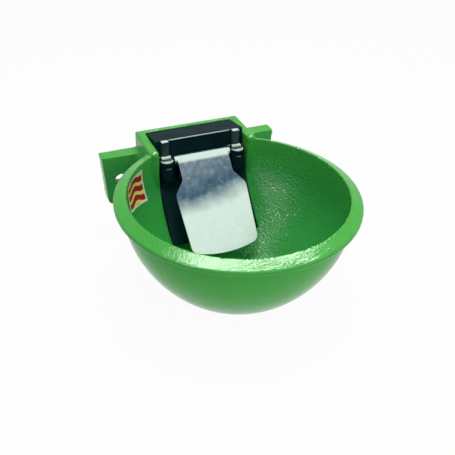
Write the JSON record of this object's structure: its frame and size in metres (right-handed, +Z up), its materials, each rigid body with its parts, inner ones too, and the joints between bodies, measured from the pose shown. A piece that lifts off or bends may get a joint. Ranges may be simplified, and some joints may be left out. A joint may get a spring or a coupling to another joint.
{
  "type": "livestock drinking bowl",
  "caption": "Wall-mounted cast-iron drinking bowl for cattle; an animal pushes the stainless paddle, which opens a spring-closed water valve in the rear housing.",
  "frame": {"origin": "centre of the two wall bolt holes, on the wall face behind the ears", "axes": "+X along the wall to the right as seen from the front, +Y into the wall, +Z up"},
  "size_m": [0.25, 0.275, 0.136],
  "materials": {
    "green_enamel": "glossy green enamel over sand-cast iron",
    "paddle_steel": "satin stainless sheet",
    "stainless_steel": "bright stainless",
    "dark_steel": "black phosphated spring steel",
    "black_plastic": "semi-gloss black moulding",
    "grey_nylon": "natural grey nylon",
    "brass": "machined brass",
    "black_rubber": "matt rubber"
  },
  "bodies": {
    "housing": {"bowl_casting": "green_enamel", "valve_cover": "black_plastic", "hinge_carrier": "black_plastic", "carrier_screws": "stainless_steel", "axle_clip_left": "black_plastic", "axle_clip_right": "black_plastic", "axle_bush_left": "black_plastic", "axle_bush_right": "black_plastic", "valve_body": "brass", "valve_seat": "grey_nylon", "stem_guide": "brass", "stem_o_ring": "black_rubber", "valve_cap": "brass", "cap_o_ring": "black_rubber", "flow_screw": "brass", "flow_screw_o_ring": "black_rubber", "inlet_strainer": "stainless_steel", "body_washer": "black_rubber", "body_lock_nut": "brass", "outlet_nozzle": "black_plastic", "valve_spring": "stainless_steel"},
    "paddle": {"paddle": "paddle_steel", "paddle_axle": "stainless_steel", "axle_retaining_rings": "dark_steel", "pusher_rod": "stainless_steel"},
    "valve_stem": {"valve_stem": "stainless_steel", "valve_disc": "black_rubber", "disc_retainer": "brass"}
  },
  "joints": [
    {"name": "paddle_hinge", "type": "hinge", "parent": "housing", "child": "paddle", "pos_m": [0, -0.048, 0.033], "axis": [1, 0, 0], "range_deg": [0, 12], "stiffness_Nm_per_rad": 2, "springref_deg": -17.19},
    {"name": "stem_slide", "type": "slide", "parent": "housing", "child": "valve_stem", "axis": [0, 1, 0], "range_m": [0, 0.0038], "deforming": ["valve_spring"]}
  ],
  "couplings": [
    {"joint": "stem_slide", "follows": "paddle_hinge", "m_per_rad": 0.01735}
  ]
}
